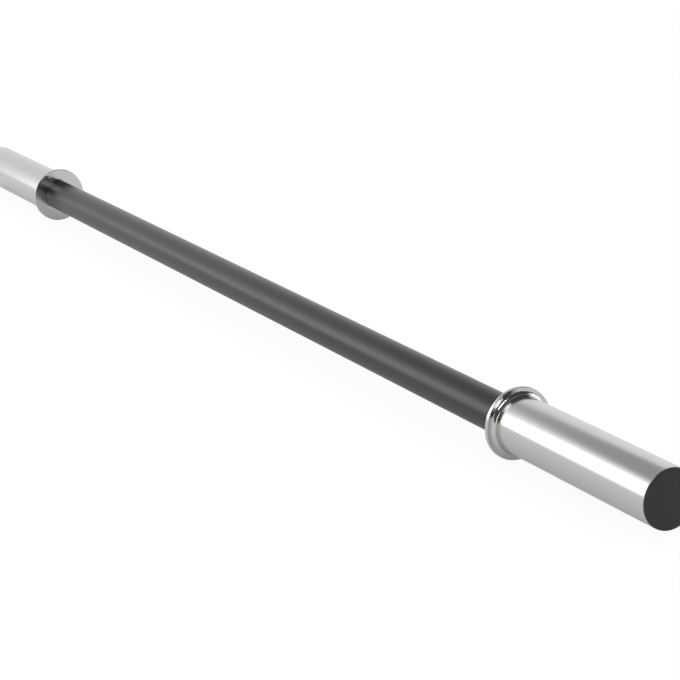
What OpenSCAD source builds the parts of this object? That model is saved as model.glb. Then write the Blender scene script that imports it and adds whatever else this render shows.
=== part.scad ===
// Light barbell for group exercise classes: a rubber-covered tube with a sleeve at each end
// that turns on plain bushes, so that the weight plates can spin while the grip stays still.
// The bar lies along X, with its middle at the origin and +Z up. Sizes are in millimetres.

/* [Bar] */
// Overall length, from end cap to end cap
bar_len = 1397; // [1200:0.5:1600]
// Length of one sleeve assembly, from the collar's inboard face to the end of the bar
sleeve_len = 203.2; // [160:0.1:260]

/* [Shaft and grip] */
// Outside diameter of the steel shaft tube
shaft_d = 28; // [26:0.1:30]
// Wall of the shaft tube
shaft_wall = 2; // [1.5:0.1:3]
// Outside diameter of the rubber grip cover
grip_d = 34.6; // [34.4:0.1:38]
// Radius on the end edges of the grip cover
grip_edge_r = 0.4; // [0.3:0.1:1.2]

/* [Sleeve] */
// Outside diameter of the sleeve tube, which takes plates with a 50 mm hole
sleeve_d = 49.2; // [48.6:0.1:50]
// Wall of the sleeve tube
sleeve_wall = 1.6; // [1.2:0.1:2.2]
// Depth of the seat that is turned on the sleeve's inboard end for the collar
seat_cut = 0.3; // [0.3:0.05:0.6]

/* [Collar] */
// Diameter of the collar's rim
collar_d = 62.4; // [60:0.1:80]
// Width of the rim along the bar
rim_w = 3.6; // [2.4:0.1:5]
// Radius on the rim's inboard edge
rim_back_r = 0.5; // [0.2:0.1:1]
// Radius on the rim's outboard edge
rim_front_r = 0.5; // [0.3:0.1:1.2]
// Radius of the cove that runs from the rim down to the sleeve
cove_r = 3.8; // [2:0.1:4.4]
// Height of the step from the sleeve up to the cove's foot
foot_h = 0.2; // [0.2:0.05:0.6]
// Width of the level foot outboard of the cove
foot_w = 0.6; // [0.4:0.1:2]
// Thickness of the lip that closes the sleeve's inboard end
lip_t = 3; // [2:0.1:4]

/* [Bushes and their carriers] */
// Wall of a bush
bush_wall = 2; // [1.5:0.1:2.5]
// Thickness of a bush's flange
bush_flange_t = 1.5; // [1:0.1:2]
// Diameter of a bush's flange
bush_flange_d = 38; // [36:0.1:42]
// Width of the steel ring that carries a bush
carrier_w = 20; // [14:0.5:26]

/* [Thrust ring] */
// Outside diameter of the ring on the shaft that stops the sleeve sliding inboard
ring_d = 33.6; // [32:0.1:34]
// Width of the thrust ring
ring_w = 5; // [4.6:0.1:6]
// Diameter of the spring pin through the thrust ring and the shaft
pin_d = 3; // [2.5:0.1:3.4]
// Wall of the spring pin
pin_wall = 0.6; // [0.4:0.1:0.8]
// Width of the slot along the spring pin
pin_slot = 0.8; // [0.5:0.1:1]

/* [End bolt] */
// Diameter of the bolt's shank
bolt_d = 10; // [8:0.5:12]
// Length of the bolt's shank
bolt_len = 30; // [20:1:36]
// Width of the bolt's head across its flats
bolt_flats = 16; // [16:0.5:19]
// Height of the bolt's head
bolt_head_h = 6.4; // [5:0.1:8]
// Length of the threaded plug in the shaft's end
plug_len = 36; // [30:1:45]
// Outside diameter of the retaining washer
washer_d = 36; // [34:0.5:38]
// Thickness of the retaining washer
washer_t = 2.5; // [2:0.1:3]
// Thickness of the split lock washer
lock_t = 2.2; // [1.6:0.1:2.6]
// Radial width of the lock washer's section
lock_w = 3.6; // [2.5:0.1:4]
// Gap at the lock washer's split
lock_gap = 1.6; // [1:0.1:2.5]

/* [End cap] */
// Thickness of the cap's head
cap_head_t = 2.4; // [2:0.1:4]
// Radius on the edge of the cap's head
cap_edge_r = 0.8; // [0.3:0.1:1]
// Length of the cap's skirt inside the sleeve
cap_skirt = 12; // [10:0.5:13]
// Wall of the cap's skirt
cap_wall = 2; // [1.5:0.1:2.5]
// Number of gripping fins round the skirt
fins = 3; // [2:1:4]
// How far each fin stands out from the skirt
fin_h = 1.6; // [1:0.1:2]
// Thickness of a fin at its root
fin_root = 1.4; // [1:0.1:1.6]
// Thickness of a fin at its tip
fin_tip = 0.4; // [0.2:0.1:0.8]

/* [Clearances] */
// Radial clearance of a bush on the shaft
run_fit = 0.05; // [0.02:0.01:0.1]
// Radial clearance of a piece that is pressed, screwed or glued in place
press_fit = 0.02; // [0.01:0.01:0.05]
// Radial clearance of the bolt in its washers and of the thrust ring in the collar
free_fit = 0.3; // [0.2:0.05:0.5]
// Play between faces that turn against each other
end_play = 0.2; // [0.2:0.05:0.6]
// Gap between the grip cover's end and the collar, wider than the end play
grip_gap = 0.3; // [0.3:0.05:0.8]
// Free room between the bolt's head and the end cap
cap_room = 7; // [4:0.5:10]
// How far the cap's head stands in from the sleeve's outside, so that plates slide over it
cap_inset = 0.2; // [0.1:0.05:0.5]

/* [Hidden] */
$fn = 96;
// How far a cutting shape runs past the face that it cuts
eps = 0.01;

shaft_r = shaft_d / 2;
shaft_bore_r = shaft_r - shaft_wall;
sleeve_r = sleeve_d / 2;
sleeve_bore_r = sleeve_r - sleeve_wall;
seat_r = sleeve_r - seat_cut;
foot_r = sleeve_r + foot_h;
collar_t = rim_w + cove_r + foot_w;
bush_bore_r = shaft_r + run_fit;
bush_r = bush_bore_r + bush_wall;
ring_r = ring_d / 2;
bolt_r = bolt_d / 2;
bolt_hole_r = bolt_r + free_fit;
fin_r = sleeve_bore_r - press_fit;
skirt_r = fin_r - fin_h;
pin_len = ring_d - 2 * free_fit;

// Places along the right-hand end of the bar, from the middle outwards
x_end = bar_len / 2;
x_collar = x_end - sleeve_len;
x_ring = x_collar - grip_gap;
x_pin = x_ring + ring_w / 2;
x_tube = x_collar + lip_t;
x_seat = x_collar + collar_t;
x_inner_bush = x_ring + ring_w + end_play;
x_inner_carrier = x_inner_bush + bush_flange_t;
x_cap = x_end - cap_head_t;
x_bolt_head = x_cap - cap_room - bolt_head_h;
x_lock = x_bolt_head - lock_t;
x_washer = x_lock - washer_t;
x_outer_bush = x_washer - end_play;
x_outer_carrier = x_outer_bush - bush_flange_t - carrier_w;

SIDES = ["left", "right"];
PAIRED = [
    "sleeve_tube", "collar", "inner_bush", "inner_carrier", "outer_bush", "outer_carrier",
    "end_cap", "thrust_ring", "ring_pin", "end_plug", "retaining_washer", "lock_washer", "end_bolt"
];

// Puts a shape that is drawn upright along the bar, with its foot at x
module along(x) {
    translate([x, 0, 0]) rotate([0, 90, 0]) children();
}

// Mirrors a right-hand piece to the left-hand end
module on(side) {
    if (side == "left") mirror([1, 0, 0]) children();
    else children();
}

// A plain ring or tube that stands on its foot
module ring(r_out, r_in, len) {
    difference() {
        cylinder(r = r_out, h = len);
        translate([0, 0, -eps]) cylinder(r = r_in, h = len + 2 * eps);
    }
}

// Half section of a disc, from its axis out to r, whose upper edge is rounded
module half_disc(r, len, edge_r) {
    square([r - edge_r, len]);
    square([r, len - edge_r]);
    translate([r - edge_r, len - edge_r]) circle(r = edge_r);
}

// The same with its lower edge rounded too
module half_roller(r, len, low_r, high_r) {
    intersection() {
        half_disc(r, len, high_r);
        translate([0, len]) mirror([0, 1]) half_disc(r, len, low_r);
    }
}

// A flanged bush that stands on its flange
module flanged_bush() {
    ring(bush_r, bush_bore_r, bush_flange_t + carrier_w);
    ring(bush_flange_d / 2, bush_bore_r, bush_flange_t);
}

// The hole through the shaft and the thrust ring for the spring pin
module pin_hole() {
    translate([x_pin, 0, 0]) cylinder(r = pin_d / 2 + press_fit, h = ring_d + 2 * eps, center = true);
}

module shaft_tube() {
    color("silver") difference() {
        along(-x_washer) ring(shaft_r, shaft_bore_r, 2 * x_washer);
        for (side = SIDES) on(side) pin_hole();
    }
}

module grip_cover() {
    color("dimgray") along(-x_ring) rotate_extrude() difference() {
        half_roller(grip_d / 2, 2 * x_ring, grip_edge_r, grip_edge_r);
        translate([0, -eps]) square([shaft_r + press_fit, 2 * (x_ring + eps)]);
    }
}

module sleeve_tube() {
    color("gainsboro") {
        along(x_tube) ring(seat_r, sleeve_bore_r, x_cap - x_tube);
        along(x_seat) ring(sleeve_r, sleeve_bore_r, x_cap - x_seat);
    }
}

module collar() {
    color("lightgray") along(x_collar) rotate_extrude() difference() {
        union() {
            half_roller(collar_d / 2, rim_w, rim_back_r, rim_front_r);
            half_cove();
        }
        translate([0, -eps]) square([ring_r + free_fit, lip_t + 2 * eps]);
        translate([0, lip_t]) square([seat_r + press_fit, collar_t]);
    }
}

// Half section of the collar's hub, hollowed by the cove
module half_cove() {
    difference() {
        square([foot_r + cove_r, collar_t]);
        translate([foot_r + cove_r, rim_w + cove_r]) circle(r = cove_r);
        translate([foot_r, rim_w + cove_r]) square([cove_r + eps, foot_w + eps]);
    }
}

module inner_bush() {
    color("peru") along(x_inner_bush) flanged_bush();
}

module outer_bush() {
    color("peru") along(x_outer_bush) mirror([0, 0, 1]) flanged_bush();
}

module carrier(x) {
    color("darkgray") along(x) ring(sleeve_bore_r - press_fit, bush_r + press_fit, carrier_w);
}

module inner_carrier() {
    carrier(x_inner_carrier);
}

module outer_carrier() {
    carrier(x_outer_carrier);
}

module end_cap() {
    color("dimgray") along(x_cap) {
        rotate_extrude() half_disc(sleeve_r - cap_inset, cap_head_t, cap_edge_r);
        translate([0, 0, -cap_skirt]) {
            ring(skirt_r, skirt_r - cap_wall, cap_skirt + eps);
            for (i = [1:fins]) translate([0, 0, i * cap_skirt / (fins + 1)]) cap_fin();
        }
    }
}

// One barbed fin of the end cap, whose tip bears on the sleeve's bore
module cap_fin() {
    rotate_extrude() polygon([
        [skirt_r - eps, -fin_root / 2], [fin_r, fin_root / 2 - fin_tip],
        [fin_r, fin_root / 2], [skirt_r - eps, fin_root / 2]
    ]);
}

module thrust_ring() {
    color("silver") difference() {
        along(x_ring) ring(ring_r, shaft_r + press_fit, ring_w);
        pin_hole();
    }
}

module ring_pin() {
    color("gray") translate([x_pin, 0, -pin_len / 2]) difference() {
        ring(pin_d / 2, pin_d / 2 - pin_wall, pin_len);
        translate([0, -pin_slot / 2, -eps]) cube([pin_d, pin_slot, pin_len + 2 * eps]);
    }
}

module end_plug() {
    color("gray") along(x_washer - plug_len) ring(shaft_bore_r - press_fit, bolt_r + press_fit, plug_len);
}

module retaining_washer() {
    color("silver") along(x_washer) ring(washer_d / 2, bolt_hole_r, washer_t);
}

module lock_washer() {
    color("gray") along(x_lock) difference() {
        ring(bolt_hole_r + lock_w, bolt_hole_r, lock_t);
        translate([0, -lock_gap / 2, -eps]) cube([bolt_hole_r + 2 * lock_w, lock_gap, lock_t + 2 * eps]);
    }
}

module end_bolt() {
    color("silver") {
        along(x_bolt_head) cylinder(d = bolt_flats / cos(30), h = bolt_head_h, $fn = 6);
        along(x_bolt_head - bolt_len) cylinder(r = bolt_r, h = bolt_len + eps);
    }
}

// Draws the piece of that name that an end of the bar has
module paired(piece) {
    if (piece == "sleeve_tube") sleeve_tube();
    if (piece == "collar") collar();
    if (piece == "inner_bush") inner_bush();
    if (piece == "inner_carrier") inner_carrier();
    if (piece == "outer_bush") outer_bush();
    if (piece == "outer_carrier") outer_carrier();
    if (piece == "end_cap") end_cap();
    if (piece == "thrust_ring") thrust_ring();
    if (piece == "ring_pin") ring_pin();
    if (piece == "end_plug") end_plug();
    if (piece == "retaining_washer") retaining_washer();
    if (piece == "lock_washer") lock_washer();
    if (piece == "end_bolt") end_bolt();
}

shaft_tube();
grip_cover();
for (side = SIDES) for (piece = PAIRED) {
    on(side) paired(piece);
}
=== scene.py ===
# %% [markdown]
# # A light barbell with sleeves that spin
#
# The bar is the kind used in group exercise classes. A steel tube runs from end to end.
# Between the two collars it wears a smooth rubber cover for the hands. At each end a chromed
# sleeve turns on two bushes and takes the weight plates, and a black plastic cap closes it.
#
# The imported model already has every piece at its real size, so this script only dresses it.
# The pieces that show are all turned shapes. A CAD mesh is cut into flat facets, and bright
# chrome shows each facet as a stripe, so the pieces that show are made again here as fine
# surfaces of revolution. The pieces inside keep their CAD meshes and get a finish.

# %% Load the frame
import math

import bpy
import numpy as np
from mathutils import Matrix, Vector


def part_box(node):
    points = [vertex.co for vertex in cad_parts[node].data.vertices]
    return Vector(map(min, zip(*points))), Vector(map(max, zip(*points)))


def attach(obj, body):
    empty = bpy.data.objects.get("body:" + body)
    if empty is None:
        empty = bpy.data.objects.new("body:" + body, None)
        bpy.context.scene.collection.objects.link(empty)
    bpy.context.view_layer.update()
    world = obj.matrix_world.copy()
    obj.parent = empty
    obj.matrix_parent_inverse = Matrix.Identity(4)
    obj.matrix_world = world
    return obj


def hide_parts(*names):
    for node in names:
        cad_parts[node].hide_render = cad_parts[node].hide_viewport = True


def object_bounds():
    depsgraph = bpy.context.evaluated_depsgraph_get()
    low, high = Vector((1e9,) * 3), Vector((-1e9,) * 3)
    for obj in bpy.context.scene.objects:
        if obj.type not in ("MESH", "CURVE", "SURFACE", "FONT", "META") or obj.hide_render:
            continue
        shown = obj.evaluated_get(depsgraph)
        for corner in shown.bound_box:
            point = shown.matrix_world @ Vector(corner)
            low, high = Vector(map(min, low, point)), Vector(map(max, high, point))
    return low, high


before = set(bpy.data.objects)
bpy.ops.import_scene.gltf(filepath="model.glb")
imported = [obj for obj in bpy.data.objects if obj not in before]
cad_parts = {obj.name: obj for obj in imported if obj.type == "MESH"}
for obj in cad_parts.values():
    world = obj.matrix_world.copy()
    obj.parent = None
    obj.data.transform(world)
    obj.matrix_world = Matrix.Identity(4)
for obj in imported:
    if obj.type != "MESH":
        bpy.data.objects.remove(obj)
cad_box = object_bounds()
print("CAD box:", [[round(c, 4) for c in corner] for corner in cad_box])
print("CAD pieces:", len(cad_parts))

# %% [markdown]
# ## The camera
#
# The photograph looks along the bar from its right-hand end, from a little above it. A camera
# could be placed by eye, but a long bar at a slant is hard to match that way. So its place and
# lens were found by fitting the outlines of the sleeves, the grip and the three rings that show,
# and they are stated here as plain numbers: a turn from the front, a height above the level, and
# the focal length on a frame 36 mm wide.

# %% Camera
VIEW_AZIMUTH = math.radians(60.605)
VIEW_ELEVATION = math.radians(16.44)
VIEW_AT = (1.8236, -0.9141, 0.5443)
LENS_MM = 109.64
SENSOR_MM = 36.0
NEAREST, FARTHEST = 0.01, 100.0

camera_data = bpy.data.cameras.new("photo_camera")
camera_data.lens = LENS_MM
camera_data.sensor_width = SENSOR_MM
camera_data.clip_start = NEAREST
camera_data.clip_end = FARTHEST
camera = bpy.data.objects.new("photo_camera", camera_data)
camera.location = VIEW_AT
camera.rotation_euler = (math.pi / 2 - VIEW_ELEVATION, 0.0, VIEW_AZIMUTH)
bpy.context.scene.collection.objects.link(camera)
bpy.context.scene.camera = camera
bpy.context.scene.view_settings.view_transform = "Standard"
print("camera", round(float(np.linalg.norm(VIEW_AT)), 3), "m from the middle of the bar")

# %% [markdown]
# ## Helpers for nodes and colours
#
# A material or a world is a tree of nodes. It could be wired by hand in the node editor, but a
# script can be read and run again, and is easiest to read when each node takes one line. `add`
# makes a node, sets its options, and fills each input with a number, a colour or another node's
# output. Colours are written as a designer would pick them on a screen, and `colour` turns them
# to linear light, because Blender reckons in amounts of light.

# %% Nodes and colours
WHITE = (1.0, 1.0, 1.0, 1.0)


def blank(owner):
    """Switches on the nodes of a material or a world, and returns its tree with nothing in it."""
    owner.use_nodes = True
    owner.node_tree.nodes.clear()
    return owner.node_tree


def add(tree, kind, links=None, **settings):
    """One node of a kind: settings are its options, links fills its inputs by name or number."""
    made = tree.nodes.new(kind)
    for name, value in settings.items():
        setattr(made, name, value)
    for name, value in (links or {}).items():
        socket = made.inputs[name]
        if isinstance(value, bpy.types.NodeSocket):
            tree.links.new(value, socket)
        else:
            socket.default_value = value
    return made


def colour(hex_code):
    """Linear colour of an sRGB hex value: c / 12.92 if dark, else ((c + 0.055) / 1.055) ^ 2.4."""
    srgb = np.array([int(hex_code[i:i + 2], 16) for i in (1, 3, 5)]) / 255
    linear = np.where(srgb <= 0.04045, srgb / 12.92, ((srgb + 0.055) / 1.055) ** 2.4)
    return (*linear.tolist(), 1.0)


print("middle grey #808080 is", round(colour("#808080")[0], 3), "in linear light")

# %% [markdown]
# ## A helper for finishes
#
# Every piece of the bar is one plain colour all over. Beside the colour, and whether it is a
# metal, what makes a skin look right is how rough it is and how even. Pictures of surfaces could
# be wrapped round the pieces. One noise pattern per finish does it here, since it has no seam and
# keeps its size in millimetres on every piece.

# %% Finishes
MM = 0.001
# Most of the noise lies between these two levels
NOISE_LOW, NOISE_HIGH = 0.3, 0.7
NOISE_DETAIL = 3.0


def finish(name, base, metallic, roughness, spread, cell, depth):
    """A surface finish: one noise varies its roughness and lifts a shallow bump.

    cell is the pattern's size along X, Y and Z and depth is its height, all in metres. The
    roughness runs from roughness * (1 - spread) to roughness * (1 + spread).
    """
    material = bpy.data.materials.new(name)
    tree = blank(material)
    place = add(tree, "ShaderNodeTexCoord").outputs["Object"]
    scaled = add(tree, "ShaderNodeMapping", {"Vector": place, "Scale": tuple(1 / c for c in cell)})
    pattern = add(tree, "ShaderNodeTexNoise", {
        "Vector": scaled.outputs["Vector"], "Scale": 1.0, "Detail": NOISE_DETAIL}).outputs["Fac"]
    rough = add(tree, "ShaderNodeMapRange", {
        "Value": pattern, "From Min": NOISE_LOW, "From Max": NOISE_HIGH,
        "To Min": roughness * (1 - spread), "To Max": roughness * (1 + spread)})
    bump = add(tree, "ShaderNodeBump", {"Height": pattern, "Distance": depth, "Strength": 1.0})
    shader = add(tree, "ShaderNodeBsdfPrincipled", {
        "Base Color": colour(base), "Metallic": metallic,
        "Roughness": rough.outputs["Result"], "Normal": bump.outputs["Normal"]})
    add(tree, "ShaderNodeOutputMaterial", {"Surface": shader.outputs["BSDF"]})
    print(f"{name}: pattern {min(cell) / MM:.2f} mm, {depth / MM:.4f} mm high")
    return material


print("noise is used from", NOISE_LOW, "to", NOISE_HIGH)

# %% [markdown]
# ## A helper for outlines
#
# Everything that shows is a solid of revolution about the X axis. A lathe hand would draw its
# half section first: a few corners, each with its own radius. A Bevel modifier could round the
# edges afterwards, but each edge would need a weight to get its own radius. `rounded` turns the
# corners into a fine outline, each with the radius that the drawing gives it.

# %% Rounded outlines
ARC_STEPS = 10
# Points nearer to each other, or to the axis, than this many metres are taken to touch
TOUCHING = 1e-6


def rounded(corners, radii):
    """Outline of a closed polygon whose corner i is an arc of radii[i], or stays sharp at 0.

    With unit vectors a and b from the corner to its neighbours, and h half the angle between
    them, the arc's centre is p + r / sin(h) * (a + b) / |a + b|, and it starts and ends
    r / tan(h) away from the corner. Between them the radius vector turns at a steady rate.
    """
    p = np.array(corners, float)
    r = np.array(radii, float)[:, None]
    a = np.roll(p, 1, axis=0) - p
    b = np.roll(p, -1, axis=0) - p
    a /= np.linalg.norm(a, axis=1, keepdims=True)
    b /= np.linalg.norm(b, axis=1, keepdims=True)
    half = np.arccos(np.clip((a * b).sum(1, keepdims=True), -1, 1)) / 2
    middle = (a + b) / np.linalg.norm(a + b, axis=1, keepdims=True)
    centre = p + middle * r / np.sin(half)
    start = (p + a * r / np.tan(half) - centre)[:, None]
    end = (p + b * r / np.tan(half) - centre)[:, None]
    sweep = (math.pi - 2 * half)[:, None]
    t = np.linspace(0, 1, ARC_STEPS)[None, :, None]
    arc = (np.sin((1 - t) * sweep) * start + np.sin(t * sweep) * end) / np.sin(sweep)
    points = (centre[:, None] + arc).reshape(-1, 2)
    keep = np.linalg.norm(points - np.roll(points, 1, axis=0), axis=1) > TOUCHING
    return points[keep]


print("a rounded corner has", ARC_STEPS, "points, and a sharp one has 1")

# %% [markdown]
# ## A helper for turned skins
#
# Blender's Spin tool or its Screw modifier could carry an outline round an axis. Working the grid
# out here keeps the faces pointing outwards and the poles closed, and gives the volume as a
# check.

# %% Turned skins
SEGMENTS = 256


def revolved(outline):
    """Points, faces and volume of a closed outline of (x, r) carried round the X axis.

    Point (i, j) is (x_i, r_i cos a_j, r_i sin a_j), where a_j is j / SEGMENTS of a full turn. The
    outline may touch the axis at its first and last points, which then become the two poles.
    The volume is the sum of pi / 3 * (r1^2 + r1 r2 + r2^2) * (x1 - x2), which is positive only
    where the faces point outwards.
    """
    x, r = outline.T
    x2, r2 = np.roll(outline, -1, axis=0).T
    volume = math.pi / 3 * float(((r * r + r * r2 + r2 * r2) * (x - x2)).sum())
    capped = r[0] < TOUCHING
    poles = [[x[0], 0, 0], [x[-1], 0, 0]] if capped else []
    if capped:
        x, r = x[1:-1], r[1:-1]
    rows = len(x)
    angle = np.linspace(0, 2 * math.pi, SEGMENTS, endpoint=False)
    grid = np.stack([
        np.repeat(x[:, None], SEGMENTS, axis=1),
        r[:, None] * np.cos(angle),
        r[:, None] * np.sin(angle),
    ], axis=-1).reshape(-1, 3)
    i = np.arange(rows - 1 if capped else rows)[:, None]
    j = np.arange(SEGMENTS)[None, :]
    here, there, after = i * SEGMENTS, (i + 1) % rows * SEGMENTS, (j + 1) % SEGMENTS
    quads = np.stack([here + j, there + j, there + after, here + after], axis=-1)
    faces = quads.reshape(-1, 4).tolist()
    if capped:
        low, high = np.arange(SEGMENTS), after[0]
        last_row = (rows - 1) * SEGMENTS
        pole = np.full(SEGMENTS, len(grid))
        faces += np.stack([pole, low, high], axis=-1).tolist()
        faces += np.stack([pole + 1, last_row + high, last_row + low], axis=-1).tolist()
    return grid.tolist() + poles, faces, volume


print("a turned skin has", SEGMENTS, "flats round it")

# %% [markdown]
# ## A helper for turned pieces
#
# A turned piece needs its mesh, its finish, and a note of which CAD piece it stands for and which
# body it rides on. That could be written out for each piece, but it is the same every time, so
# `turned` does it in one call. Its skin is shaded smooth, and stays sharp at its hard edges.

# %% Turned pieces
SHARP = math.radians(30)
CM3 = 1e-6


def turned(name, outline, sign, material, body, stands_for):
    """A turned piece that rides on a body and stands for a CAD piece.

    The outline is drawn for the right-hand end with the solid on its left. For the other end
    sign is -1, which makes each x into -x and reverses the order of the points.
    """
    points, faces, volume = revolved((np.array(outline) * (sign, 1))[::sign])
    assert volume > 0, name
    mesh = bpy.data.meshes.new(name)
    mesh.from_pydata(points, [], faces)
    mesh.shade_smooth()
    mesh.set_sharp_from_angle(angle=SHARP)
    mesh.materials.append(material)
    piece = bpy.data.objects.new(name, mesh)
    bpy.context.scene.collection.objects.link(piece)
    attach(piece, body)
    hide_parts(stands_for)
    print(f"{name}: {len(mesh.polygons)} faces, {volume / CM3:.2f} cm3")


print("edges stay sharp above", round(math.degrees(SHARP)), "degrees")

# %% [markdown]
# ## The rubber grip cover
#
# The cover is an extruded rubber tube, pushed over the steel one with soapy water and trimmed.
# It isn't sponge: its surface is closed and slightly shiny, so a soft highlight runs along it.
# The skin of an extrusion is a little uneven, which the fine pattern in its roughness stands for.
#
# A plain cylinder would show the same from most sides. Turned from its half section it also has
# its bore and the small radius of its trimmed ends.

# %% Grip cover
# Smooth extruded rubber: near black, with a satin skin, uneven over about a millimetre as the
# real one is
GRIP_RUBBER = finish(
    "satin_rubber", "#272723", 0.0, 0.30, 0.12, (1.2 * MM, 0.4 * MM, 0.4 * MM), 0.004 * MM)
GRIP_BORE_R = 14.02 * MM
GRIP_EDGE_R = 0.4 * MM

low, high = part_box("grip_cover")
turned(
    "grip_rubber_tube",
    rounded(
        [(low.x, GRIP_BORE_R), (high.x, GRIP_BORE_R), (high.x, high.z), (low.x, high.z)],
        [0, 0, GRIP_EDGE_R, GRIP_EDGE_R]),
    1, GRIP_RUBBER, "shaft", "grip_cover")
print(f"grip {(high.x - low.x) / MM:.1f} mm long and {2 * high.z / MM:.1f} mm across")

# %% [markdown]
# ## The two ends
#
# The two ends of the bar are alike, so one could be made and mirrored. A mirrored mesh is easily
# left inside out, so each end is turned from its own outline, and the outlines are drawn by the
# distance from the bar's middle, which is the same at both ends.

# %% Both ends
SIDES = {"left": -1, "right": 1}


def reach(node):
    """A CAD piece's nearest and farthest distance from the bar's middle, and its radius."""
    low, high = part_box(node)
    return (*sorted((abs(low.x), abs(high.x))), high.z)


ends = [round(reach(f"sleeve_tube_{side}")[1] / MM, 1) for side in SIDES]
print("the sleeves end", ends, "mm from the middle")

# %% [markdown]
# ## The chromed sleeves
#
# Each sleeve is steel tube, ground true and then plated, so that plates slide on it easily. The
# grinding leaves very fine lines round the tube. Chrome covers them thinly, so the sleeve shows
# the room as soft bands instead of a sharp picture. Its inboard end is turned down by a fraction
# of a millimetre, and the collar is pressed on there.
#
# A cylinder with a Solidify modifier would give the tube but not that seat, so the outline has
# the bore, the seat and the rounded end all together.

# %% Sleeves
# Hard chrome on a ground tube: a haze from grinding lines. Real ones are a few hundredths of a
# millimetre apart, too fine to show, so they are drawn a quarter of a millimetre apart
SLEEVE_CHROME = finish(
    "ground_tube_chrome", "#cfcfcd", 1.0, 0.19, 0.10, (0.25 * MM, 60 * MM, 60 * MM), 0.0002 * MM)
SLEEVE_WALL = 1.6 * MM
SEAT_CUT = 0.3 * MM
SLEEVE_EDGE_R = 0.3 * MM

for side, sign in SIDES.items():
    inner_x, outer_x, sleeve_r = reach(f"sleeve_tube_{side}")
    seat_x = reach(f"collar_{side}")[1]
    bore_r, seat_r = sleeve_r - SLEEVE_WALL, sleeve_r - SEAT_CUT
    turned(
        f"chromed_sleeve_{side}",
        rounded(
            [(inner_x, bore_r), (outer_x, bore_r), (outer_x, sleeve_r),
             (seat_x, sleeve_r), (seat_x, seat_r), (inner_x, seat_r)],
            [0, 0, SLEEVE_EDGE_R, 0, 0, 0]),
        sign, SLEEVE_CHROME, f"sleeve_{side}", f"sleeve_tube_{side}")

# %% [markdown]
# ## The collars
#
# A collar stops the first plate. It has a narrow rim with a flat outboard face, and a cove runs
# from that face down to the sleeve. It is turned, buffed by hand and plated. Buffing leaves the
# skin slightly wavy, so its mirror picture of the room breaks up into short bright and dark
# patches, which the plain tube beside it doesn't show.
#
# Discs could be stacked and the cove cut with a Boolean. In a half section the cove is only one
# more corner with a radius, and its skin runs into the face without a seam in the reflections.

# %% Collars
# Decorative chrome over a hand-buffed turning: a mirror with waves about 2 mm long. Real waves
# are lower than these, and at this size wouldn't break up the reflections as they should
COLLAR_CHROME = finish(
    "buffed_collar_chrome", "#cfcfcd", 1.0, 0.06, 0.30, (2.0 * MM, 2.0 * MM, 2.0 * MM), 0.16 * MM)
LIP_BORE_R, LIP_T = 17.1 * MM, 3.0 * MM
PRESS_R = 24.32 * MM
FOOT_H = 0.2 * MM
RIM_W, RIM_BACK_R, RIM_FRONT_R = 3.6 * MM, 0.5 * MM, 0.5 * MM
COVE_R = 3.8 * MM

for side, sign in SIDES.items():
    back_x, front_x, rim_r = reach(f"collar_{side}")
    foot_r = reach(f"sleeve_tube_{side}")[2] + FOOT_H
    rim_x, lip_x = back_x + RIM_W, back_x + LIP_T
    turned(
        f"coved_collar_{side}",
        rounded(
            [(back_x, LIP_BORE_R), (lip_x, LIP_BORE_R), (lip_x, PRESS_R), (front_x, PRESS_R),
             (front_x, foot_r), (rim_x, foot_r), (rim_x, rim_r), (back_x, rim_r)],
            [0, 0, 0, 0, 0, COVE_R, RIM_FRONT_R, RIM_BACK_R]),
        sign, COLLAR_CHROME, f"sleeve_{side}", f"collar_{side}")
    print(f"collar {side}: {(front_x - back_x) / MM:.1f} mm wide, {2 * rim_r / MM:.1f} mm across")

# %% [markdown]
# ## The end caps
#
# Each cap is moulded in black plastic and pushed into the sleeve. Its head is a plain disc with a
# rounded edge. Three barbed fins round its skirt bend as they go in and then grip the bore. The
# mould was given a fine matt texture, so the head shows no highlight.
#
# The fins could be rings of their own, laid over the skirt. Drawn as teeth in the same outline,
# they are one closed skin with the head, as in the moulding.

# %% End caps
# Injection-moulded plastic with a spark-eroded texture. Its real grain is about a tenth of a
# millimetre, too fine to show, so it is drawn about three times as coarse
CAP_PLASTIC = finish(
    "moulded_black_plastic", "#222222", 0.0, 0.55, 0.15,
    (0.35 * MM, 0.35 * MM, 0.35 * MM), 0.012 * MM)
HEAD_T, CAP_EDGE_R = 2.4 * MM, 0.8 * MM
SKIRT_WALL = 2.0 * MM
FIN_R, FIN_H, FIN_ROOT, FIN_TIP = 22.98 * MM, 1.6 * MM, 1.4 * MM, 0.4 * MM
FINS = 3

for side, sign in SIDES.items():
    skirt_x, face_x, head_r = reach(f"end_cap_{side}")
    head_x, skirt_r = face_x - HEAD_T, FIN_R - FIN_H
    corners = [(face_x, 0), (face_x, head_r), (head_x, head_r), (head_x, skirt_r)]
    for x in np.linspace(head_x, skirt_x, FINS + 2)[1:-1].tolist():
        corners += [
            (x + FIN_ROOT / 2, skirt_r), (x + FIN_ROOT / 2, FIN_R),
            (x + FIN_ROOT / 2 - FIN_TIP, FIN_R), (x - FIN_ROOT / 2, skirt_r)]
    inner_r = skirt_r - SKIRT_WALL
    corners += [(skirt_x, skirt_r), (skirt_x, inner_r), (head_x, inner_r), (head_x, 0)]
    turned(
        f"finned_cap_{side}",
        rounded(corners, [0, CAP_EDGE_R] + [0] * (len(corners) - 2)),
        sign, CAP_PLASTIC, f"sleeve_{side}", f"end_cap_{side}")

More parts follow.
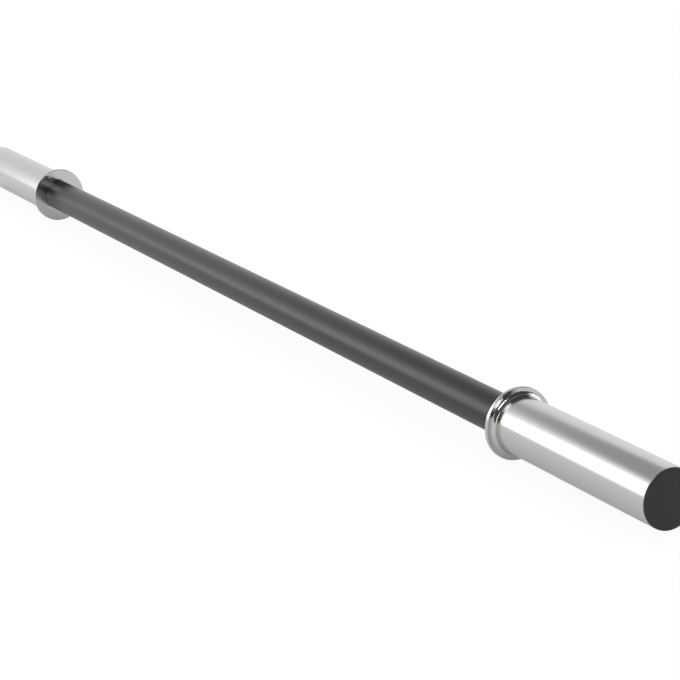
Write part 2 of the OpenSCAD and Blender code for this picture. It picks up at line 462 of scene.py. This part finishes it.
# %% [markdown]
# ## The pieces inside
#
# These never show, but the model can be taken apart, so each gets its real finish. The shaft,
# its thrust rings, washers and bolts are zinc plated against sweat and damp. The carriers,
# plugs, pins and lock washers are plain turned steel with a film of oil. The bushes are sintered
# bronze, a porous metal that holds oil and needs no greasing.
#
# They could be turned again like the pieces that show. Nobody sees their facets in a reflection,
# so their CAD meshes are kept, and only the material in each is changed.

# %% Hidden pieces
# Zinc plate: pale, slightly blue and fairly dull, and cloudy over about a millimetre
ZINC = finish(
    "zinc_plated_steel", "#b9bdc2", 1.0, 0.34, 0.2, (0.9 * MM, 0.9 * MM, 0.9 * MM), 0.003 * MM)
# Turned steel: tool marks run round the piece, an eighth of a millimetre apart
TURNED = finish(
    "oiled_turned_steel", "#a3a3a1", 1.0, 0.28, 0.2, (0.125 * MM, 20 * MM, 20 * MM), 0.002 * MM)
# Sintered bronze: a fine open grain from the pressed powder
BRONZE = finish(
    "sintered_bronze", "#b98d57", 1.0, 0.42, 0.3, (0.15 * MM, 0.15 * MM, 0.15 * MM), 0.01 * MM)

MATERIALS = {
    "shaft_tube": ZINC, "thrust_ring": ZINC, "retaining_washer": ZINC, "end_bolt": ZINC,
    "inner_carrier": TURNED, "outer_carrier": TURNED, "end_plug": TURNED, "ring_pin": TURNED,
    "lock_washer": TURNED, "inner_bush": BRONZE, "outer_bush": BRONZE,
    "grip_cover": GRIP_RUBBER, "sleeve_tube": SLEEVE_CHROME, "collar": COLLAR_CHROME,
    "end_cap": CAP_PLASTIC,
}
for name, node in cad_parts.items():
    node.data.materials.clear()
    node.data.materials.append(MATERIALS[name.removesuffix("_left").removesuffix("_right")])
print("finishes on", len(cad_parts), "CAD pieces")

# %% [markdown]
# ## The room
#
# Chrome has no colour of its own, so a picture of it is a picture of the room. Working back from
# the bands on the two sleeves gives the room: a white wall behind the bar, a large softbox on the
# left that is brightest in its upper part, a smaller white box far on the right, a lamp high
# behind the camera, and dark beyond them. The wall is a little greyer beside the softbox.
#
# Walls and lamps could be built round the bar. A pattern on the world is simpler, but it is
# infinitely far away, and a near wall's reflection would run a little differently along the bar.
# It depends only on the direction, so a place in it is given by its height, from 0 at the level
# to 1 straight up, and by cosines: 1 straight at a thing and 0 at right angles to it.

# %% Room
# How bright the wall is low down and high up, the heights between which it changes, how bright
# the rest of the room is, and the cosines, taken from straight behind the bar, between which the
# wall comes in
WALL_LOW, WALL_HIGH = 0.94, 0.40
WALL_FROM, WALL_TO = 0.53, 0.67
DARK = 0.07
BEHIND_FROM, BEHIND_TO = -0.1, 0.5

world = bpy.data.worlds.new("studio")
bpy.context.scene.world = world
tree = blank(world)
facing = add(tree, "ShaderNodeTexCoord").outputs["Generated"]
height = add(tree, "ShaderNodeSeparateXYZ", {"Vector": facing}).outputs["Z"]
wall = add(tree, "ShaderNodeMapRange", {
    "Value": height, "From Min": WALL_FROM, "From Max": WALL_TO,
    "To Min": WALL_LOW, "To Max": WALL_HIGH}, interpolation_type="SMOOTHSTEP")
backwards = add(tree, "ShaderNodeVectorMath", {0: facing, 1: (-1, 0, 0)}, operation="DOT_PRODUCT")
behind = add(tree, "ShaderNodeMapRange", {
    "Value": backwards.outputs["Value"], "From Min": BEHIND_FROM, "From Max": BEHIND_TO},
    interpolation_type="SMOOTHSTEP")
room = add(tree, "ShaderNodeMix", {
    "Factor": behind.outputs["Result"], "A": DARK, "B": wall.outputs["Result"]}, data_type="FLOAT")
print("wall", WALL_LOW, "to", WALL_HIGH, "and the rest of the room", DARK)

# %% [markdown]
# ## The lights in the room
#
# In a reflection a studio light is a white patch with soft edges. Here each one is a round patch
# about a direction, and two of them fade out upwards, as the bands on the sleeves do. Area lights
# could stand there instead, but they would light the dull surfaces too, and a colour would no
# longer look as it is written.

# %% Lights
# A fade that starts above straight up never happens
NEVER = (1.2, 1.1)
# Where each light is (turn and height in degrees), the cosines at its edge and at its full
# strength, the heights between which it fades out upwards, and its strength. The shaded part
# takes light away, so its strength is negative
LIGHTS = {
    "softbox": ((-125, 6), (0.80, 0.96), (0.60, 0.42), 1.47),
    "upper part of the softbox": ((-146, 21), (0.950, 0.985), NEVER, 0.2),
    "shaded part of the wall": ((170, 17), (0.900, 0.985), NEVER, -0.10),
    "box on the right": ((85, 0), (0.82, 0.90), (0.67, 0.53), 1.6),
    "lamp behind the camera": ((-17, 32), (0.968, 0.980), NEVER, 2.8),
}

studio = room.outputs["Result"]
for name, ((turn, lift), (edge, full), (fade_from, fade_to), strength) in LIGHTS.items():
    turn, lift = math.radians(turn), math.radians(lift)
    aim = (math.cos(turn) * math.cos(lift), math.sin(turn) * math.cos(lift), math.sin(lift))
    cosine = add(tree, "ShaderNodeVectorMath", {0: facing, 1: aim}, operation="DOT_PRODUCT")
    patch = add(tree, "ShaderNodeMapRange", {
        "Value": cosine.outputs["Value"], "From Min": edge, "From Max": full, "To Max": strength},
        interpolation_type="SMOOTHSTEP")
    fade = add(tree, "ShaderNodeMapRange", {
        "Value": height, "From Min": fade_from, "From Max": fade_to},
        interpolation_type="SMOOTHSTEP")
    studio = add(tree, "ShaderNodeMath", {
        0: patch.outputs["Result"], 1: fade.outputs["Result"], 2: studio},
        operation="MULTIPLY_ADD").outputs["Value"]
    print(f"{name}: strength {strength}, {math.degrees(math.acos(edge)):.0f} degrees to its edge")

# %% [markdown]
# ## What each ray sees of the room
#
# Only mirror-like reflections see that room. Everything else is lit by a plain even dome just
# under full white, at which a colour looks about as it is written, and the camera sees plain
# white past the paper. A Light Path node tells the three kinds of ray apart, so one world does it
# all.

# %% World
DOME = 0.95

path = add(tree, "ShaderNodeLightPath").outputs
plain = add(tree, "ShaderNodeMath", {0: path["Is Camera Ray"], 1: DOME}, operation="MAXIMUM")
seen = add(tree, "ShaderNodeMix", {
    "Factor": path["Is Glossy Ray"], "A": plain.outputs["Value"], "B": studio}, data_type="FLOAT")
back = add(tree, "ShaderNodeBackground", {"Color": WHITE, "Strength": seen.outputs["Result"]})
add(tree, "ShaderNodeOutputWorld", {"Surface": back.outputs["Background"]})
print("dome", DOME, "for dull surfaces, and", len(LIGHTS), "patches for reflections")

# %% [markdown]
# ## The floor
#
# The bar lies on white paper. The camera sees the paper as white, and the paper keeps the bar's
# soft shadow. Reflections see it a little greyer, and less bright towards the right, as the
# undersides of the two sleeves show in the photograph.
#
# A brighter dome would whiten the paper too, but would make every dull colour on the bar paler.
# A share of glow in its material whitens it for the camera alone, and a smaller share serves the
# reflections.

# %% Floor
FLOOR_HALF = 12.0
# The camera's share of glow is a little over full white, to make up for the plain paper's share
CAMERA_SHARE, CAMERA_LEVEL = 0.9, 1.03
# Painted light on the paper for reflections: its glow is a painted fall of light, brighter at the
# left end of the bar and dimmer at the right
# The reflections' share goes from one level to the other between the two ends of the bar
MIRROR_SHARE, MIRROR_LEFT, MIRROR_RIGHT = 0.25, 0.95, 0.78
MIRROR_END_X = 0.7

z = cad_box[0][2]
mesh = bpy.data.meshes.new("floor")
mesh.from_pydata(
    [(x * FLOOR_HALF, y * FLOOR_HALF, z) for x, y in ((-1, -1), (1, -1), (1, 1), (-1, 1))],
    [], [(0, 1, 2, 3)])
floor = bpy.data.objects.new("floor", mesh)
bpy.context.scene.collection.objects.link(floor)

# White background paper: dull, so it has no highlight, and a little under white, so it keeps a
# soft shadow
PAPER = (0.84, 0.84, 0.84, 1.0)
material = bpy.data.materials.new("white_background_paper")
tree = blank(material)
path = add(tree, "ShaderNodeLightPath").outputs
place = add(tree, "ShaderNodeTexCoord").outputs["Object"]
along = add(tree, "ShaderNodeSeparateXYZ", {"Vector": place}).outputs["X"]
# Painted light: the glow level that reflections see on the paper, falling from left to right along
# the bar
painted_light_level = add(tree, "ShaderNodeMapRange", {
    "Value": along, "From Min": -MIRROR_END_X, "From Max": MIRROR_END_X,
    "To Min": MIRROR_LEFT, "To Max": MIRROR_RIGHT})
level = add(tree, "ShaderNodeMix", {
    "Factor": path["Is Camera Ray"], "A": painted_light_level.outputs["Result"], "B": CAMERA_LEVEL},
    data_type="FLOAT")
paper = add(tree, "ShaderNodeBsdfDiffuse", {"Color": PAPER})
glow = add(tree, "ShaderNodeEmission", {"Color": WHITE, "Strength": level.outputs["Result"]})
to_camera = add(tree, "ShaderNodeMath", {
    0: path["Is Camera Ray"], 1: CAMERA_SHARE}, operation="MULTIPLY")
share = add(tree, "ShaderNodeMath", {
    0: path["Is Glossy Ray"], 1: MIRROR_SHARE, 2: to_camera.outputs["Value"]},
    operation="MULTIPLY_ADD")
both = add(tree, "ShaderNodeMixShader", {
    0: share.outputs["Value"], 1: paper.outputs["BSDF"], 2: glow.outputs["Emission"]})
add(tree, "ShaderNodeOutputMaterial", {"Surface": both.outputs["Shader"]})
mesh.materials.append(material)
print("floor at", round(z / MM, 1), "mm")
